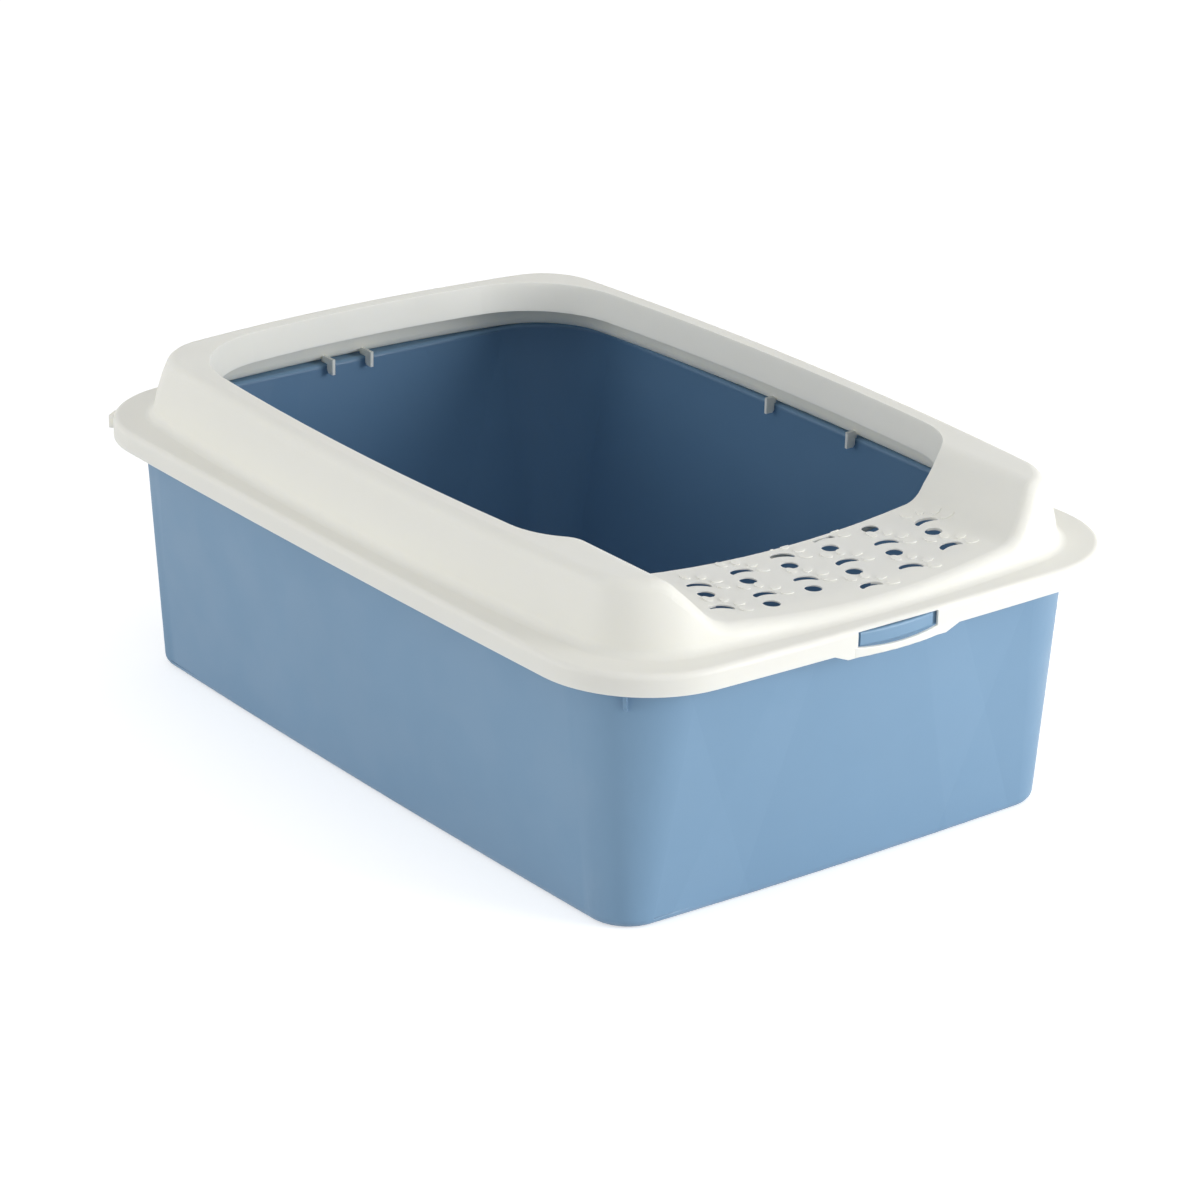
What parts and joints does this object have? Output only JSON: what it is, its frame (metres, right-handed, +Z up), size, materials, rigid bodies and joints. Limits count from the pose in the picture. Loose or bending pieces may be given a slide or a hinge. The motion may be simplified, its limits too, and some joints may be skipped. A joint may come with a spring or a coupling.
{
  "type": "litter tray",
  "caption": "Open litter tray for cats: a deep drafted bin with a clip-on rim frame that hangs inwards and has a low, perforated entry step with side wings.",
  "frame": {"origin": "on the floor, under the middle of the whole object", "axes": "+Z up, Y along the length with the low entry facing -Y, X along the width"},
  "size_m": [0.393, 0.575, 0.2063],
  "materials": {
    "tray": "blue moulded plastic with a fine satin grain",
    "rim_frame": "warm white moulded plastic with a soft sheen"
  },
  "bodies": {
    "bin": {"tray": "tray"},
    "frame": {"rim_frame": "rim_frame"}
  },
  "joints": [
    {"name": "frame_lift", "type": "slide", "parent": "bin", "child": "frame", "axis": [0, 0, 1], "range_m": [0, 0.06]}
  ]
}
